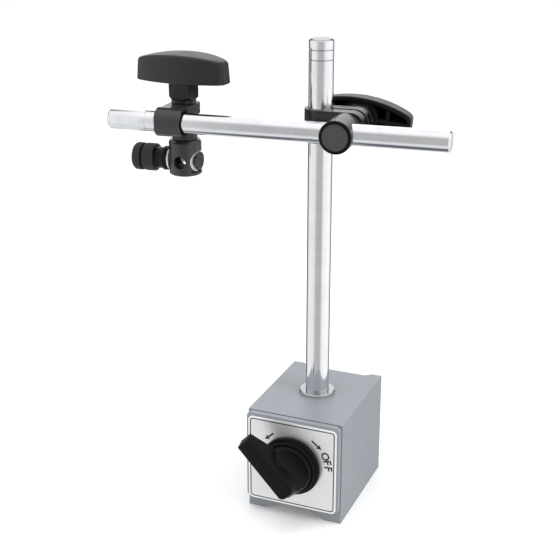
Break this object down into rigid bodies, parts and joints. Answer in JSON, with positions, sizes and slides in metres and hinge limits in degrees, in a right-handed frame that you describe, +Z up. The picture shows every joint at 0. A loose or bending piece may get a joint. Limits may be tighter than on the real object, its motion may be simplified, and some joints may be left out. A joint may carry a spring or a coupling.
{
  "type": "magnetic stand for dial indicators",
  "caption": "Switchable magnetic base with an upright column, a clamped cross arm and a swivelling holder that grips a gauge stem or dovetail.",
  "frame": {"origin": "on the floor plane, under the column axis and midway along the vee", "axes": "+X to the right along the base front, +Y to the back, +Z up along the column"},
  "size_m": [0.1661, 0.0882, 0.2355],
  "materials": {
    "casing_paint": "blue-grey stoved enamel on steel",
    "spacer_brass": "ground brass, painted over on the outside",
    "plate_silver": "fine brushed nameplate",
    "bush_bronze": "turned bronze",
    "plain_steel": "turned mild steel",
    "magnet_grey": "sintered magnet",
    "chromed": "hard chrome on ground steel",
    "black_oxide": "black oxide, satin",
    "bright_steel": "polished steel",
    "switch_plastic": "moulded, satin",
    "knob_plastic": "moulded, fine grain"
  },
  "bodies": {
    "base": {"pole_left": "casing_paint", "pole_right": "casing_paint", "spacer_top": "spacer_brass", "spacer_bottom": "spacer_brass", "front_cover": "casing_paint", "nameplate": "plate_silver", "front_bush": "bush_bronze", "rear_cap": "casing_paint", "column_bush": "plain_steel", "stop_pin": "plain_steel"},
    "switch": {"switch_handle": "switch_plastic", "switch_spindle": "plain_steel", "rotor_magnet": "magnet_grey", "rotor_shoe_left": "plain_steel", "rotor_shoe_right": "plain_steel", "rotor_tail": "plain_steel"},
    "column": {"column_rod": "chromed", "column_collar": "chromed"},
    "column_clamp": {"column_clamp_band": "black_oxide", "main_washer": "black_oxide"},
    "main_knob": {"main_knob_wing": "knob_plastic", "main_knob_nut": "black_oxide"},
    "arm_head": {"clamp_sleeve": "black_oxide", "eye_bolt": "black_oxide"},
    "arm": {"arm_rod": "chromed"},
    "end_clamp": {"end_clamp_band": "black_oxide", "end_washer": "black_oxide"},
    "end_knob": {"end_knob_wing": "knob_plastic", "end_knob_nut": "black_oxide"},
    "holder": {"holder_block": "black_oxide", "holder_stud": "plain_steel", "holder_collar": "black_oxide", "drawbar_washer": "bright_steel"},
    "drawbar": {"drawbar": "black_oxide"},
    "knurled_nut": {"knurled_nut": "black_oxide"}
  },
  "joints": [
    {"name": "switch_turn", "type": "hinge", "parent": "base", "child": "switch", "pos_m": [0, -0.031, 0.0306], "axis": [0, 1, 0], "range_deg": [0, 90]},
    {"name": "column_turn", "type": "hinge", "parent": "base", "child": "column", "pos_m": [0, 0, 0.057], "axis": [0, 0, 1], "continuous": true},
    {"name": "clamp_slide", "type": "slide", "parent": "column", "child": "column_clamp", "axis": [0, 0, 1], "range_m": [-0.095, 0.03]},
    {"name": "main_knob_turn", "type": "hinge", "parent": "column_clamp", "child": "main_knob", "pos_m": [0.013, 0.01092, 0.1953], "axis": [-0.0872, 0.9962, 0], "range_deg": [0, 270]},
    {"name": "arm_tilt", "type": "hinge", "parent": "column_clamp", "child": "arm_head", "pos_m": [0.01536, -0.01612, 0.1953], "axis": [-0.0872, 0.9962, 0], "range_deg": [-30, 90]},
    {"name": "arm_slide", "type": "slide", "parent": "arm_head", "child": "arm", "axis": [0.9962, 0.0872, 0], "range_m": [-0.038, 0.035]},
    {"name": "end_swivel", "type": "hinge", "parent": "arm", "child": "end_clamp", "pos_m": [-0.06722, -0.02335, 0.1953], "axis": [0.9962, 0.0872, 0], "continuous": true},
    {"name": "end_knob_turn", "type": "hinge", "parent": "end_clamp", "child": "end_knob", "pos_m": [-0.06861, -0.00741, 0.2053], "axis": [0, 0, 1], "range_deg": [0, 270]},
    {"name": "holder_swivel", "type": "hinge", "parent": "end_clamp", "child": "holder", "pos_m": [-0.06861, -0.00741, 0.1838], "axis": [0, 0, 1], "continuous": true},
    {"name": "drawbar_slide", "type": "slide", "parent": "holder", "child": "drawbar", "axis": [0.9962, 0.0872, 0], "range_m": [0, 0.0007]},
    {"name": "knurled_nut_turn", "type": "hinge", "parent": "holder", "child": "knurled_nut", "pos_m": [-0.08057, -0.00845, 0.1733], "axis": [0.9962, 0.0872, 0], "range_deg": [-315, 0]}
  ],
  "couplings": [
    {"joint": "drawbar_slide", "follows": "knurled_nut_turn", "m_per_rad": -0.00012732}
  ]
}
